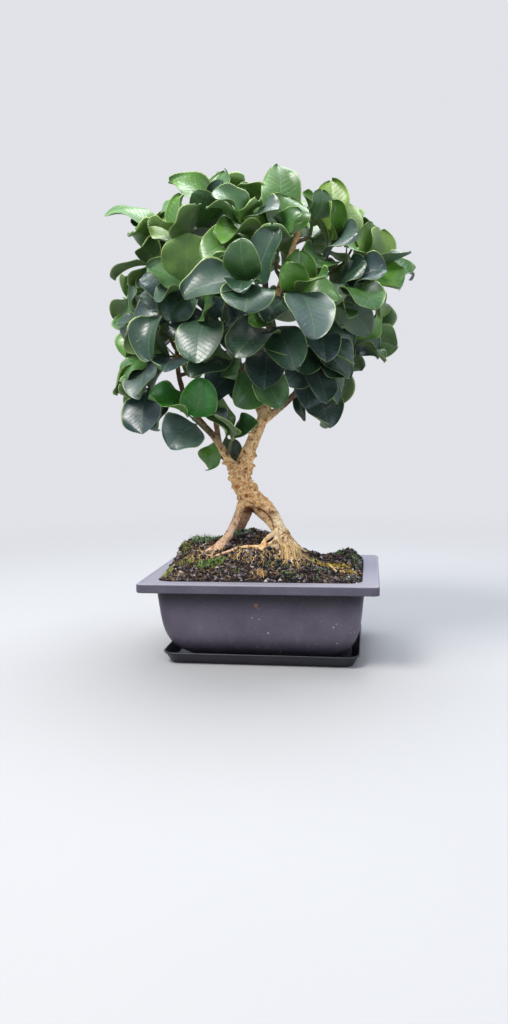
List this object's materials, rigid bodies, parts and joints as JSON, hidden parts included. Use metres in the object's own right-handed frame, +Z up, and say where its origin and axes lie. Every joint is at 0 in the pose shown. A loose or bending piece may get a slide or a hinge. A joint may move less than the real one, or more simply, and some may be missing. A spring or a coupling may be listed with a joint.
{
  "type": "japanese privet bonsai",
  "caption": "Small tree with a forked, rooted trunk and a rounded crown of broad glossy leaves, growing in soil in a flared rectangular pot that stands in a drip tray.",
  "frame": {"origin": "centre of the drip tray's underside, on the surface it stands on", "axes": "+Z up, +X along the pot's long side to the right as seen from the front, -Y towards the front"},
  "size_m": [0.2743, 0.2336, 0.42],
  "materials": {
    "tray": "near-black, slightly satin",
    "pot": "matte purple-grey with fine pale specks",
    "soil": "dark fibrous potting soil with roots and moss",
    "wood": "pale tan bark, knobby, with darker flecks",
    "leaf": "waxy green leaves, paler along the edge"
  },
  "bodies": {
    "root": {"drip_tray": "tray", "pot": "pot", "soil": "soil", "trunk": "wood", "shoot_1": "leaf", "shoot_10": "leaf", "shoot_11": "leaf", "shoot_12": "leaf", "shoot_13": "leaf", "shoot_14": "leaf", "shoot_15": "leaf", "shoot_17": "leaf", "shoot_18": "leaf", "shoot_19": "leaf", "shoot_2": "leaf", "shoot_20": "leaf", "shoot_21": "leaf", "shoot_23": "leaf", "shoot_24": "leaf", "shoot_25": "leaf", "shoot_26": "leaf", "shoot_27": "leaf", "shoot_29": "leaf", "shoot_3": "leaf", "shoot_4": "leaf", "shoot_5": "leaf", "shoot_6": "leaf", "shoot_7": "leaf", "shoot_8": "leaf", "shoot_9": "leaf", "shoot_centre_front": "leaf", "shoot_centre_low": "leaf", "shoot_centre_upper": "leaf", "shoot_fork": "leaf", "shoot_fork_back": "leaf", "shoot_left_arc": "leaf", "shoot_left_bottom": "leaf", "shoot_left_centre": "leaf", "shoot_left_front_low": "leaf", "shoot_left_low": "leaf", "shoot_left_low_mid": "leaf", "shoot_left_mid": "leaf", "shoot_mid_low": "leaf", "shoot_new_pair": "leaf", "shoot_right_front": "leaf", "shoot_right_hang": "leaf", "shoot_right_high": "leaf", "shoot_right_inner": "leaf", "shoot_right_low": "leaf", "shoot_right_low_mid": "leaf", "shoot_right_mid": "leaf", "shoot_top_left": "leaf", "shoot_top_right": "leaf", "shoot_top_round": "leaf", "shoot_top_stub": "leaf", "shoot_upper_left": "leaf"}
  },
  "joints": []
}
